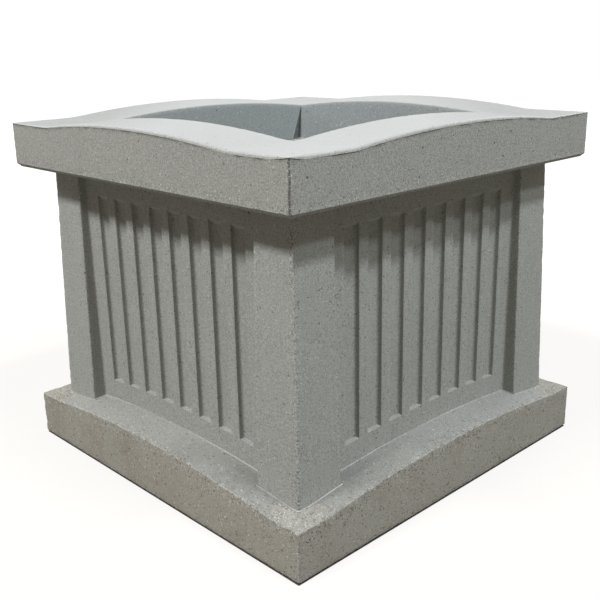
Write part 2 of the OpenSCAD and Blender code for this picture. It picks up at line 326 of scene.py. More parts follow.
plinth_arris = np.array(plinth_edge)
plinth_grid = worn(np.array(plinth_rows), plinth_arris, ripple=0.0004, nibble=0.0010, chip=0.0024,
                   seed=11)
plinth = cast_piece("plinth_casting", plinth_grid, arris=plinth_arris, smooth=np.array(plinth_top),
                    soil=np.array(plinth_soil))
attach(plinth, "root")
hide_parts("plinth")


def node(tree, kind, inputs=None, **settings):
    """A new shader node with its settings, whose inputs are given values or joined to sockets."""
    made = tree.nodes.new(kind)
    for name, value in settings.items():
        setattr(made, name, value)
    for name, value in (inputs or {}).items():
        if isinstance(value, bpy.types.NodeSocket):
            tree.links.new(value, made.inputs[name])
        else:
            made.inputs[name].default_value = value
    return made


def reckon(tree, operation, *values, clamp=False):
    """A Math node's result."""
    return node(tree, "ShaderNodeMath", dict(enumerate(values)), operation=operation,
                use_clamp=clamp).outputs[0]


def blend_colours(tree, share, first, second):
    """The first colour with a share of the second mixed in."""
    factor_socket, a_socket, b_socket, result_socket = 0, 6, 7, 2
    mix = node(tree, "ShaderNodeMix", {factor_socket: share, a_socket: first, b_socket: second},
               data_type="RGBA")
    return mix.outputs[result_socket]


def new_group(name, inputs, outputs):
    """An empty node group. Inputs give each socket's name and value, outputs its name and kind."""
    tree = bpy.data.node_groups.new(name, "ShaderNodeTree")
    for socket, value in inputs.items():
        kind = "NodeSocketColor" if isinstance(value, tuple) else "NodeSocketFloat"
        made = tree.interface.new_socket(socket, in_out="INPUT", socket_type=kind)
        made.default_value = value
    for socket, kind in outputs.items():
        tree.interface.new_socket(socket, in_out="OUTPUT", socket_type=kind)
    return tree, tree.nodes.new("NodeGroupInput").outputs, tree.nodes.new("NodeGroupOutput")


def place_group(tree, group, inputs):
    """A node group placed in a material with its own values, and what it puts out."""
    return node(tree, "ShaderNodeGroup", inputs, node_tree=group).outputs


def row_point(tree, stretch=(1, 1, 1)):
    """Place in the row frame, in metres, stretched along each axis."""
    place = node(tree, "ShaderNodeTexCoord").outputs["Object"]
    return node(tree, "ShaderNodeVectorMath", {0: place, 1: stretch},
                operation="MULTIPLY").outputs[0]


def cloud(tree, point, scale, detail=2.0, rough=0.5):
    """Noise centred on zero, with about scale features in a metre."""
    noise = node(tree, "ShaderNodeTexNoise", {
        "Vector": point, "Scale": scale, "Detail": detail, "Roughness": rough})
    return reckon(tree, "SUBTRACT", noise.outputs[0], 0.5)


def crumbs_in(tree, point, scale, share, size):
    """Mask of grains scattered at random, each of its own size and strength."""
    cells = node(tree, "ShaderNodeTexVoronoi", {"Vector": point, "Scale": scale})
    pick = node(tree, "ShaderNodeSeparateColor", {0: cells.outputs["Color"]}).outputs
    chosen = reckon(tree, "LESS_THAN", pick[0], share)
    reach = reckon(tree, "MULTIPLY", size, reckon(tree, "ADD", pick[1], 0.4))
    edge = reckon(tree, "DIVIDE", cells.outputs["Distance"], reach)
    inside = reckon(tree, "MULTIPLY", reckon(tree, "SUBTRACT", 1.2, edge), 2.5, clamp=True)
    strength = reckon(tree, "ADD", reckon(tree, "MULTIPLY", pick[2], 0.6), 0.4)
    return reckon(tree, "MULTIPLY", reckon(tree, "MULTIPLY", chosen, inside), strength)


def pushed_about(tree, point, scale, reach):
    """The point moved about by noise, so that what is drawn at it gets ragged edges."""
    noise = node(tree, "ShaderNodeTexNoise", {"Vector": point, "Scale": scale, "Detail": 1.0})
    return node(tree, "ShaderNodeVectorMath", {
        0: noise.outputs["Color"], 1: (reach, reach, reach), 2: point},
        operation="MULTIPLY_ADD").outputs[0]


# The face of a casting: cloudy cement tone, sand, pale and dark grains, pinholes left by air,
# upright brush streaks, earth stains, and the masks of the mesh: Wear at an arris, Smooth where
# it was trowelled or is rain-washed, Inside on the walls of the planting space, Dirt and shade
# for grime on the mortar and painted shade on the castings.
pale_grain = (0.70, 0.69, 0.65, 1.0)
dark_grain = (0.085, 0.078, 0.066, 1.0)
# Pinholes get painted shade: a near-black tone for the shade inside them.
pinhole_shade = (0.03, 0.028, 0.025, 1.0)
# One dark tone serves for grime and for painted shade.
dirt_and_shade_tone = (0.055, 0.050, 0.042, 1.0)

stone_face, given, out = new_group("stone_face", {
    "Tone": (0.4, 0.4, 0.4, 1.0),
    "Smooth tone": (0.4, 0.4, 0.4, 1.0),
    "Inside tone": (0.262, 0.284, 0.279, 1.0),
    "Arris tone": (0.4, 0.4, 0.4, 1.0),
    "Earth": (0.21, 0.175, 0.125, 1.0),
    "Mottle": 0.16, "Sand": 0.5, "Pale grains": 0.03, "Dark grains": 0.03, "Pinholes": 0.01,
    "Streaks": 0.0, "Stain": 0.0, "Calm": 0.0, "Arris grains": 0.5, "Grain size": 0.3,
    "Arris width": 0.3, "Wear": 0.0, "Smooth": 0.0, "Inside": 0.0, "Dirt and shade": 0.0,
}, {"Colour": "NodeSocketColor", "Height": "NodeSocketFloat", "Roughness": "NodeSocketFloat"})
point = row_point(stone_face)
trowelled = reckon(stone_face, "MULTIPLY", given["Smooth"], given["Calm"])
coarse = reckon(stone_face, "SUBTRACT", 1.0, trowelled)

# Cement and sand.
wide_cloud = cloud(stone_face, point, 5.5, detail=3.0)
small_cloud = cloud(stone_face, point, 34.0, detail=3.0)
mottle = reckon(stone_face, "ADD", wide_cloud, reckon(stone_face, "MULTIPLY", small_cloud, 0.55))
sharp_sand = cloud(stone_face, point, 310.0, rough=0.7)
fine_sand = cloud(stone_face, point, 700.0, detail=1.0)
sand = reckon(stone_face, "ADD", sharp_sand, reckon(stone_face, "MULTIPLY", fine_sand, 1.1))
sand = reckon(stone_face, "MULTIPLY", sand, coarse)
streaks = cloud(stone_face, row_point(stone_face, (190, 190, 4.5)), 1.0, detail=3.0, rough=0.65)

# Grains, which crowd along a worn arris, and pinholes.
ragged = pushed_about(stone_face, point, 420.0, 0.0035)
more_ragged = pushed_about(stone_face, point, 380.0, 0.0030)
drawn_down = row_point(stone_face, (1, 1, 0.93))
worn_more = reckon(stone_face, "MULTIPLY", given["Wear"], given["Arris grains"])
pale_share, dark_share = (
    reckon(stone_face, "MULTIPLY", coarse, reckon(stone_face, "ADD", given[kind], worn_more))
    for kind in ("Pale grains", "Dark grains"))
pale = crumbs_in(stone_face, ragged, 360.0, pale_share, given["Grain size"])
dark = crumbs_in(stone_face, more_ragged, 330.0, dark_share, given["Grain size"])
hole = crumbs_in(stone_face, drawn_down, 150.0, given["Pinholes"], 0.20)

# The tone, shifted lighter and darker by the cement, the sand and the streaks.
shift = 1.0
for pattern, amount in ((mottle, "Mottle"), (sand, "Sand"), (streaks, "Streaks")):
    change = reckon(stone_face, "MULTIPLY", pattern, given[amount])
    shift = reckon(stone_face, "ADD", shift, change)
base = blend_colours(stone_face, given["Smooth"], given["Tone"], given["Smooth tone"])
base = blend_colours(stone_face, given["Inside"], base, given["Inside tone"])
colour = node(stone_face, "ShaderNodeVectorMath", {0: base, "Scale": shift},
              operation="SCALE").outputs[0]

# Earth stains in patches on the faces, and the line of a worn arris, broken by noise; on the rim
# its dark tone is painted shade in the chips.
stain_cloud = cloud(stone_face, point, 11.0, detail=4.0, rough=0.6)
patches = reckon(stone_face, "MULTIPLY_ADD", stain_cloud, 3.5, 0.15, clamp=True)
on_faces = reckon(stone_face, "SUBTRACT", 1.0, given["Smooth"])
stained = reckon(stone_face, "MULTIPLY", patches, on_faces)
stained = reckon(stone_face, "MULTIPLY", stained, given["Stain"])
colour = blend_colours(stone_face, stained, colour, given["Earth"])
line = reckon(stone_face, "ADD", given["Wear"], given["Arris width"])
line = reckon(stone_face, "SUBTRACT", line, 1.0)
line_cloud = cloud(stone_face, point, 170.0, detail=3.0, rough=0.75)
broken = reckon(stone_face, "ADD", line, reckon(stone_face, "MULTIPLY", line_cloud, 1.5))
broken = reckon(stone_face, "MULTIPLY", broken, 4.0, clamp=True)
in_line = reckon(stone_face, "MULTIPLY", line, 12.0, clamp=True)
broken_line = reckon(stone_face, "MULTIPLY", broken, in_line)
colour = blend_colours(stone_face, broken_line, colour, given["Arris tone"])

# Grains and holes over that, with the shade in the holes painted into their tone, and grime and
# painted shade over all.
for grains, cover, grain_tone in ((pale, 0.75, pale_grain), (dark, 0.80, dark_grain),
                                  (hole, 0.85, pinhole_shade)):
    covered = reckon(stone_face, "MULTIPLY", grains, cover)
    colour = blend_colours(stone_face, covered, colour, grain_tone)
dirt_and_shade_cloud = cloud(stone_face, point, 90.0, detail=3.0, rough=0.7)
dirt_and_shade_share = reckon(stone_face, "MULTIPLY", given["Dirt and shade"], reckon(stone_face, "ADD", 0.80, dirt_and_shade_cloud),
              clamp=True)
colour = blend_colours(stone_face, dirt_and_shade_share, colour, dirt_and_shade_tone)

height = reckon(stone_face, "MULTIPLY", sand, 0.7)
for weight, mask in ((0.5, pale), (-0.5, dark), (-2.5, hole)):
    height = reckon(stone_face, "ADD", height, reckon(stone_face, "MULTIPLY", mask, weight))
roughness = reckon(stone_face, "ADD", 0.84, reckon(stone_face, "MULTIPLY", mottle, 0.25))
polish = reckon(stone_face, "MULTIPLY", trowelled, 0.30)
roughness = reckon(stone_face, "SUBTRACT", roughness, polish)
for name, value in (("Colour", colour), ("Height", height), ("Roughness", roughness)):
    stone_face.links.new(value, out.inputs[name])


def new_finish(name):
    """A material with its node tree and its Principled shader."""
    finish = bpy.data.materials.new(name)
    finish.use_nodes = True
    return finish, finish.node_tree, finish.node_tree.nodes["Principled BSDF"]


def raise_grain(tree, principled, height, depth):
    """Turns height into bump, depth being the size in metres of one unit of it."""
    bump = node(tree, "ShaderNodeBump", {"Height": height, "Strength": 1.0, "Distance": depth})
    tree.links.new(bump.outputs["Normal"], principled.inputs["Normal"])


def stone_finish(name, relief, **face):
    """A casting's material. Face gives the inputs of the stone face by name."""
    finish, tree, principled = new_finish(name)
    masks = {mask: node(tree, "ShaderNodeAttribute", attribute_name=kind).outputs["Fac"]
             for mask, kind in (("Wear", "arris"), ("Smooth", "smooth"), ("Inside", "inside"),
                                ("Dirt and shade", "soil"))}
    inputs = {key.replace("_", " ").capitalize(): value for key, value in face.items()}
    looks = place_group(tree, stone_face, {**inputs, **masks})
    tree.links.new(looks["Colour"], principled.inputs["Base Color"])
    tree.links.new(looks["Roughness"], principled.inputs["Roughness"])
    principled.inputs["Specular IOR Level"].default_value = 0.35
    raise_grain(tree, principled, looks["Height"], relief)
    return finish


plinth_stone = stone_finish(
    "plinth_stone", 0.0006, tone=(0.372, 0.355, 0.308, 1.0), smooth_tone=(0.330, 0.330, 0.305, 1.0),
    arris_tone=(0.50, 0.49, 0.46, 1.0), arris_width=0.06, arris_grains=0.42, grain_size=0.46,
    mottle=0.20, sand=0.66, pale_grains=0.075, dark_grains=0.10, pinholes=0.016, stain=0.42)
plinth.data.materials.append(plinth_stone)


# Pointed joint around the foot of the body
# Fine pale mortar. It fills the bed under the body and is pointed flush with the plinth's top,
# where it shows as a bright line along the panels and round the foot of each pilaster.

cavity_half = 0.229
cavity_cut = 0.026
joint_lift = 0.0001
joint_tuck = 0.0003
joint_gap = 0.0002
joint_proud = 0.0006
joint_waver = 0.0012
waver_size = 0.018
grime_level = 0.35
grime_size = 0.090


def cavity_outline(stations, cut_stations):
    """Half a side of the planting space, whose last stations lie on a straight cut across its
    corner."""
    wall_u = np.linspace(0, cavity_half - cavity_cut, stations - cut_stations + 1)
    across = np.linspace(0, cavity_cut / 2, cut_stations)[1:]
    u = np.concatenate([wall_u, cavity_half - cavity_cut + across])
    return u, np.concatenate([np.full(len(wall_u), cavity_half), cavity_half - across])


body_foot_ring = ring_of(outline_at_foot(joint_gap))
cavity_ring = ring_of(cavity_outline(foot_stations, cut_stations=12))
seat_z = floor_z + joint_lift
joint_grid = np.array([
    with_height(cavity_ring, seat_z),
    with_height(foot_ring, seat_z),
    with_height(foot_ring, foot_top - joint_tuck),
    with_height(foot_ring * 0.7 + body_foot_ring * 0.3, foot_top + joint_proud * 0.7),
    with_height(foot_ring * 0.3 + body_foot_ring * 0.7, foot_top + joint_proud),
    with_height(body_foot_ring, foot_top + joint_proud * 1.1),
    with_height(body_foot_ring, body_low.z),
    with_height(cavity_ring, body_low.z),
])
tooled_rows = slice(3, 6)
joint_uneven = stone_noise(joint_grid, waver_size, 31) - 0.5
joint_grid[tooled_rows, :, 2] += joint_uneven[tooled_rows] * joint_waver
joint_soil = grime_level * np.clip(stone_noise(joint_grid, grime_size, 32) * 2.2 - 0.7, 0, 1)
plinth_joint = cast_piece("plinth_pointing", joint_grid, soil=joint_soil)
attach(plinth_joint, "root")
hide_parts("plinth_joint")

mortar = stone_finish(
    "mortar", 0.0003, tone=(0.45, 0.445, 0.425, 1.0), mottle=0.60, sand=0.9,
    pale_grains=0.02, dark_grains=0.04, pinholes=0.0)
plinth_joint.data.materials.append(mortar)


# Body
# One casting: four walls that lean inward as they rise, with a pilaster at each corner and a
# recessed panel between, into which eight flutes are struck. The mould was brushed upright,
# which left faint streaks on the panels and in the flutes.

head_half = 0.329
batter = (foot_half - head_half) / (body_high.z - body_low.z)
flutes = 8
flute_pitch = 0.0545
flute_half = 0.01625
flute_depth = 0.0095
flute_round = 0.005
flute_lip = 0.0010
flute_sill_fall = 0.001
flute_head_fall = 0.008
flute_head_z = body_high.z - 0.047
flute_margin = 0.038
arris_r = 0.0022
root_r = 0.0030
body_corner_r = 0.0025
outer_arris_wear = 0.006
inner_arris_wear = 0.005
inner_arris_worn = 0.55

# Rows up each wall: below the flutes, in their sills, along them, in their heads and above them.
foot_rows = 13
sill_rows = 3
shaft_rows = 78
head_rows = 5
top_rows = 10
sill_row = foot_rows
head_row = sill_row + sill_rows + shaft_rows + head_rows


def flute_profile():
    """Plan of a flute, from lip to lip: offset from its middle, and depth."""
    lip_s, lip_c = quarter(3)
    back_s, back_c = quarter(5)
    flat = np.linspace(flute_half - flute_round, 0, 4)[1:]
    offset = np.concatenate([flute_half + flute_lip * (1 - lip_s),
                             flute_half - flute_round * (1 - back_c), flat])
    depth = np.concatenate([flute_lip * (1 - lip_c), flute_depth - flute_round * (1 - back_s),
                            np.full(len(flat), flute_depth)])
    return np.concatenate([-offset, offset[-2::-1]]), np.concatenate([depth, depth[-2::-1]])


def half_panel():
    """Half a panel in plan, from its middle to its edge: place along it, and depth below it."""
    offset, depth = flute_profile()
    places = []
    depths = []
    land_from = 0.0
    for i in range(flutes // 2):
        middle = (i + 0.5) * flute_pitch
        land_to = middle + offset[0]
        if i == 0:
            land = np.linspace(land_from, land_to, 3)[:-1]
        else:
            land = np.linspace(land_from, land_to, 5)[1:-1]
        places += [land, middle + offset]
        depths += [np.zeros(len(land)), depth]
        land_from = middle + offset[-1]
    margin = np.linspace(land_from, pilaster_u - root_r, 8)[1:-1]
    return np.concatenate(places + [margin]), np.concatenate(depths + [np.zeros(len(margin))])


def column_heights(u):
    """Heights of the rows of every column, which follow the sills and heads of the flutes."""
    panel_foot_z = plinth_arris_z + (plinth_half - panel_n) * wash
    sill = panel_foot_z + flute_margin + arch_height(u, **plinth_arch)
    low = np.full_like(u, body_low.z)
    head = np.full_like(u, flute_head_z)
    high = np.full_like(u, body_high.z)
    spans = [(low, sill, foot_rows), (sill, sill + flute_sill_fall, sill_rows),
             (sill + flute_sill_fall, head - flute_head_fall, shaft_rows),
             (head - flute_head_fall, head, head_rows), (head, high, top_rows)]
    rows = [start + (end - start) * share
            for start, end, steps in spans for share in np.linspace(0, 1, steps + 1)[:-1]]
    return np.array(rows + [high])


# Stations across half a side, from its middle: the fluted panel, the hollow at its edge, the
# return wall, the pilaster's arris, its face, and the corner up to the diagonal.
panel_places, panel_depths = half_panel()
sine, cosine = quarter(5)
wall_share = np.linspace(0, 1, 5)[1:-1]
face_share = np.linspace(0, 1, 17)[1:]
corner_u, corner_n = half_corner(foot_half, body_corner_r)
face_from = pilaster_u + arris_r
station_u = np.concatenate([
    panel_places,
    pilaster_u - root_r + root_r * sine,
    np.full(len(wall_share), pilaster_u),
    pilaster_u + arris_r * (1 - cosine),
    face_from + face_share * (foot_half - body_corner_r - face_from),
    corner_u])
panel_end = len(panel_places)
root_end = panel_end + len(sine)
wall_end = root_end + len(wall_share)
arris_end = wall_end + len(sine)
face_end = arris_end + len(face_share)

heights = column_heights(station_u)
face_n = foot_half - batter * (heights - body_low.z)
lean_in = foot_half - face_n
column_u = np.repeat(station_u[None], len(heights), axis=0)
column_n = np.full_like(heights, panel_n)
room = np.minimum((heights - heights[sill_row]) / flute_sill_fall,
                  (heights[head_row] - heights) / flute_head_fall)
open_depth = np.clip(room[:, :panel_end], 0, 1) * flute_depth
column_n[:, :panel_end] -= np.minimum(panel_depths, open_depth)
column_n[:, panel_end:root_end] += root_r * (1 - cosine)
wall_from = panel_n + root_r
wall_to = face_n[:, root_end:wall_end] - arris_r
column_n[:, root_end:wall_end] = wall_from + (wall_to - wall_from) * wall_share
column_n[:, wall_end:arris_end] = face_n[:, wall_end:arris_end] - arris_r * (1 - sine)
column_n[:, arris_end:face_end] = face_n[:, arris_end:face_end]
column_u[:, arris_end:face_end] -= lean_in[:, arris_end:face_end] * face_share
column_n[:, face_end:] = face_n[:, face_end:] + corner_n - foot_half
column_u[:, face_end:] -= lean_in[:, face_end:]

side_u, side_n = whole_side((column_u, column_n))
_, side_face_n = whole_side((heights, face_n))
side_z = np.concatenate([heights[:, ::-1], heights[:, 1:-1]], axis=-1)
outside = with_height(round_the_square(side_u, side_n), np.tile(side_z, 4))
outer_gap = np.hypot(np.abs(side_u) - side_face_n, side_n - side_face_n)
inner_gap = np.hypot(np.abs(side_u) - pilaster_u, side_n - side_face_n)
outer_arris = near_edge(outer_gap, outer_arris_wear)
inner_arris = inner_arris_worn * near_edge(inner_gap, inner_arris_wear)
side_arris = np.maximum(outer_arris, inner_arris)

# The walls of the planting space, from the top down, with as many stations as the outside.
inside_rows = 14
cavity_wall = ring_of(cavity_outline(len(station_u), cut_stations=7))
inside = np.array([with_height(cavity_wall, z)
                   for z in np.linspace(body_high.z, body_low.z, inside_rows)])
not_arris = np.zeros(inside.shape[:2])
body_arris = np.concatenate([np.tile(side_arris, 4), not_arris])
body_grid = np.concatenate([outside, inside])
body_grid = worn(body_grid, body_arris, ripple=0.0004, nibble=0.0008, chip=0.0012, seed=21)
body_inside = np.concatenate([np.zeros(outside.shape[:2]), np.ones(inside.shape[:2])])

# A little painted shade on the sills of the flutes, which face up into the light.
sill_painted_shade = 0.06
flute_here = np.zeros(len(station_u))
flute_here[:panel_end] = panel_depths / flute_depth
flute_here = np.tile(np.concatenate([flute_here[::-1], flute_here[1:-1]]), 4)
body_soil = np.zeros(body_inside.shape)
body_soil[sill_row:sill_row + sill_rows + 1] = sill_painted_shade * flute_here
body = cast_piece("body_casting", body_grid, arris=body_arris, inside=body_inside, soil=body_soil)
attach(body, "root")
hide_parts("body")

body_stone = stone_finish(
    "body_stone", 0.0005, tone=(0.365, 0.370, 0.345, 1.0), arris_tone=(0.46, 0.46, 0.43, 1.0),
    arris_width=0.05, arris_grains=0.85, grain_size=0.38, mottle=0.16, sand=0.95,
    pale_grains=0.030, dark_grains=0.045, pinholes=0.010, streaks=0.18)
body.data.materials.append(body_stone)


# Rim
# The top casting, bedded on the body, with a drip below its faces. Its top was trowelled to an
# arch on each side and eased at its outer edge, where the trowelled skin stands a little proud.
# The opening narrows as it goes down, and each of its walls starts with a step at the corner.

rim_low, rim_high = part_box("rim")
rim_half = rim_high.x
rim_under = rim_low.z
rim_arch = dict(half=0.265, rise=0.0155, cove=0.235)
rim_flat_z = rim_under + 0.076
rim_corner_r = 0.0015
rim_corner_wear = 0.0075
rim_ease = 0.0055
least_ease = 0.0008
ease_in = 0.035
drip = 0.0055
drip_depth = 0.043

# The trowelled skin: how proud it stands, how little of that is left where it is thin, how long
# its patches are, and how far under the eased arris its foot, fold and lip lie.
skin = 0.0009
least_skin = 0.15
skin_patch = 0.014
skin_foot = 0.0022
skin_fold = 0.0008
skin_lip = 0.0004

# The opening, whose edge dips below the outer one and is slightly twisted.
mouth_half = 0.240
mouth_ease = 0.003
mouth_dip = 0.0018
mouth_twist = 0.054
near_corner_r = 0.025
# How dark the painted shade is in the corner steps of the opening and on the underside next to it.
cavity_painted_shade = 0.8

flat_stations = 72
side_stations = 2 * (flat_stations + corner_steps) - 2


def rim_outline(n):
    """Half a side of the rim's outer outline."""
    straight = np.linspace(0, n - rim_corner_r, flat_stations)
    corner_u, corner_n = half_corner(n, rim_corner_r)
    return (np.concatenate([straight, corner_u]),
            np.concatenate([np.full(flat_stations, n), corner_n]))


def mouth_ring(depth_share, grow=0.0):
    """The opening's outline, wide at the top and narrower as it goes down. Where it starts, each
    wall stands forward of the corner behind it, more so lower down; the wall before carries on."""
    step_width = 0.0003
    least_step = 0.0015
    wall_n = mouth_half + (cavity_half - mouth_half) * depth_share + grow
    corner_n = mouth_half + grow + step_width
    end = max(cavity_cut * depth_share, least_step)
    back_u = np.array([0.0, 0.33, 0.67, 1.0]) * (end - step_width) - wall_n
    first_half = np.linspace(end - wall_n, 0, flat_stations)
    last_half = np.linspace(0, corner_n, flat_stations + corner_steps)[1:-1]
    u = np.concatenate([back_u, first_half, last_half])
    n = np.concatenate([np.full(corner_steps, corner_n),
                        np.full(side_stations - corner_steps, wall_n)])
    ring = round_the_square(u, n)
    centre = np.array([wall_n - near_corner_r, near_corner_r - wall_n])
    away = ring - centre
    distance = np.hypot(*away.T)
    beyond = (away[:, 0] > 0) & (away[:, 1] < 0) & (distance > near_corner_r)
    ring[beyond] = centre + away[beyond] * (near_corner_r / distance[beyond])[:, None]
    return ring


def rim_top_z(plan):
    """Height of the rim's top at plan points."""
    return rim_flat_z + arch_height(np.abs(plan).min(axis=-1), **rim_arch)


def mouth_fall(plan):
    """How far the trowelled top lies above or below its outer edge at the opening."""
    return mouth_twist * plan[:, 0] * plan[:, 1] - mouth_dip


def ease_along(plan):
    """Size of the rounding of the top's outer edge: full along the front two sides, sharp at
    their ends and on the back two."""
    toward_front = (plan[:, 0] - plan[:, 1]) / (2 * rim_half)
    rise = np.clip(toward_front / 0.5, 0, 1)
    to_corner = np.clip((1 - toward_front) * 2 * rim_half / ease_in, 0, 1)
    return least_ease + (rim_ease - least_ease) * rise * to_corner


def top_soil(plan):
    """Darkening of the top toward the two corners on either hand of the near one."""
    soil_level = 0.35
    soil_from = 0.38
    soil_blend = 0.34
    toward_side = np.abs(plan[:, 0] + plan[:, 1]) / (2 * rim_half)
    return soil_level * np.clip((toward_side - soil_from) / soil_blend, 0, 1)


rim_rows = []
rim_edge = []
rim_smooth = []
rim_inside = []
rim_soil = []


def rim_row(plan, z, edge, smooth=0.0, inside=0.0, soil=0.0):
    """The next row of the rim's grid, with its masks: worn edge, smooth top, inside and darkening,
    mostly painted shade.
    """
    rim_rows.append(with_height(plan, z))
    masks = ((rim_edge, edge), (rim_smooth, smooth), (rim_inside, inside), (rim_soil, soil))
    for rows, value in masks:
        rows.append(np.broadcast_to(value, len(plan)))


inset_step = 0.001
outer_rim = ring_of(rim_outline(rim_half))
inward = (ring_of(rim_outline(rim_half - inset_step)) - outer_rim) / inset_step
face_ring = outer_rim + inward * skin
rim_corner = near_edge(np.hypot(*(rim_half - np.abs(outer_rim)).T), rim_corner_wear)
ease = ease_along(outer_rim)
skin_noise = stone_noise(with_height(outer_rim, 0), skin_patch, 46)
skin_here = skin * np.clip(skin_noise * 2.4 - 0.5, least_skin, 1)
skin_share = skin_here / skin

# The underside from the opening out, the drip, and the faces up to the skin.
under_mouth = ring_of(cavity_outline(flat_stations + corner_steps, corner_steps + 1))
drip_back = outer_rim + inward * (drip_depth + 0.004)
# The underside next to the opening is darkened as painted shade.
for share in np.linspace(0, 1, 10):
    rim_row(under_mouth + (drip_back - under_mouth) * share, rim_under, 0, inside=1 - share,
            soil=cavity_painted_shade * (1 - share))
for inset in (drip_depth, 0.030, 0.018, drip):
    rim_row(face_ring + inward * inset, rim_under - drip, 0)
for share in (0.12, 0.5, 0.88):
    rim_row(face_ring + inward * drip * (1 - share), rim_under - drip * (1 - share), 0.5)
# This row, at the face's lower edge, is darkened.
rim_row(face_ring, rim_under, np.maximum(rim_corner, 0.5), soil=0.6)
top_z = rim_top_z(outer_rim)
face_top = top_z - ease - skin_foot
face_foot = rim_under + 0.0010
# The faces' top row is darkened as part of the painted shadow under the skin's edge.
for share in np.linspace(0, 1, 20):
    z = face_foot + (face_top - face_foot) * share
    low_edge = 0.6 * near_edge(z - face_foot, 0.010)
    rim_row(face_ring, z, np.maximum(rim_corner, low_edge),
            soil=0.35 * skin_share if share == 1 else 0.0)

# The skin's ragged edge with a painted shadow under it, the eased arris, and the trowelled top in
# to the opening.
rim_row(face_ring, top_z - ease - skin_fold, rim_corner, soil=0.62 * skin_share)
lip_ring = outer_rim + inward * (skin - skin_here)[:, None]
rim_row(lip_ring, top_z - ease - skin_lip, rim_corner, soil=0.3 * skin_share)
for s, c in zip(*quarter(7)):
    ring = lip_ring + inward * (ease * (1 - c))[:, None]
    eased_z = rim_top_z(ring) - ease * (1 - s)
    rim_row(ring, eased_z, np.maximum(rim_corner * c, 0.25), smooth=0.4 + 0.6 * s)
top_edge = ring
mouth_edge = mouth_ring(0.0, grow=mouth_ease)
# The trowelled top darkens toward the two side corners.
for share in np.linspace(0, 1, 26)[1:-1]:
    ring = top_edge + (mouth_edge - top_edge) * share
    rim_row(ring, rim_top_z(ring) + mouth_fall(mouth_edge) * share, 0, smooth=1.0,
            soil=top_soil(ring))

# The opening's eased edge and its walls, down to the underside, with painted shade on each corner
# step.
mouth_z = rim_top_z(mouth_edge) + mouth_fall(mouth_edge)
for s, c in zip(*quarter(5)):
    rim_row(mouth_ring(0.0, grow=mouth_ease * (1 - s)), mouth_z - mouth_ease * (1 - c), 0.2,
            smooth=1.0, inside=0.4 * s)
in_corner = np.tile(np.arange(side_stations) < corner_steps, 4)
mouth_foot = rim_under + 0.0015
for share in np.linspace(0, 1, 16)[1:]:
    z = mouth_z - mouth_ease + (mouth_foot - mouth_z + mouth_ease) * share
    rim_row(mouth_ring(share), z, 0, smooth=0.5, inside=1.0, soil=cavity_painted_shade * in_corner)

rim_arris = np.array(rim_edge)
rim_grid = worn(np.array(rim_rows), rim_arris, ripple=0.0004, nibble=0.0010, chip=0.0016, seed=41)
rim = cast_piece("rim_casting", rim_grid, arris=rim_arris, smooth=np.array(rim_smooth),
                 inside=np.array(rim_inside), soil=np.array(rim_soil))
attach(rim, "root")
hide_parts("rim")

# The rim's dark arris tone is painted shade along its chipped arrises, whose chips are real.
rim_stone = stone_finish(
    "rim_stone", 0.0005, tone=(0.360, 0.360, 0.331, 1.0), smooth_tone=(0.339, 0.342, 0.331, 1.0),
    arris_tone=(0.13, 0.125, 0.11, 1.0), arris_width=0.30, arris_grains=0.6, grain_size=0.36,
    mottle=0.16, sand=1.20, pale_grains=0.045, dark_grains=0.06, pinholes=0.012, calm=0.75)
rim.data.materials.append(rim_stone)


# Bed under the rim
# The same mortar, raked back from the face while it was soft, so that the rim throws an
# unbroken shadow on the body. It keeps the shape of its CAD piece.

def repaint(finish, *nodes):
    """Gives CAD nodes that stay as they are their own finish."""
    for name in nodes:
        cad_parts[name].data.materials.clear()
        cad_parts[name].data.materials.append(finish)


repaint(mortar, "rim_joint")


# Reinforcement and dowels
# Hot-rolled bars with a light bloom of rust, cast into each course, and bright stainless
# dowels across both beds. None of it shows once the planter stands.

def bar_finish(name, tone, bloom, bloom_share, roughness, metallic):
    """Drawn or rolled bar with a patchy bloom."""
    finish, tree, principled = new_finish(name)
    point = row_point(tree)
    bloom_cloud = cloud(tree, point, 60.0, detail=4.0, rough=0.6)
    patches = reckon(tree, "ADD", bloom_cloud, bloom_share, clamp=True)
    tree.links.new(blend_colours(tree, patches, tone, bloom), principled.inputs["Base Color"])
    tree.links.new(reckon(tree, "ADD", patches, roughness, clamp=True),
                   principled.inputs["Roughness"])
    principled.inputs["Metallic"].default_value = metallic
    raise_grain(tree, principled, cloud(tree, point, 900.0), 0.0002)
    return finish


bar_steel = bar_finish("bar_steel", (0.10, 0.085, 0.075, 1.0), (0.24, 0.10, 0.045, 1.0),
                       bloom_share=0.45, roughness=0.30, metallic=0.6)
stainless_steel = bar_finish("stainless_steel", (0.60, 0.60, 0.59, 1.0), (0.50, 0.50, 0.49, 1.0),
                             bloom_share=0.30, roughness=0.10, metallic=1.0)
repaint(bar_steel, "plinth_bars_lower", "plinth_bars_upper", "body_bars", "body_uprights",
        "rim_bars", "socket_pins")
repaint(stainless_steel, "plinth_dowels", "rim_dowels")


# Lifting sockets
# Turned steel sockets with a yellow-passivated zinc coat, cast flush into the floor so that
# eyes can be screwed in to set the empty planter.

socket_steel = bar_finish("socket_steel", (0.62, 0.56, 0.36, 1.0), (0.50, 0.47, 0.38, 1.0),
                          bloom_share=0.35, roughness=0.12, metallic=1.0)
repaint(socket_steel, "lifting_sockets")


# Drain
# A length of grey plastic pipe cast through the floor, and a black moulded strainer that is
# dropped into it and lifts out again.

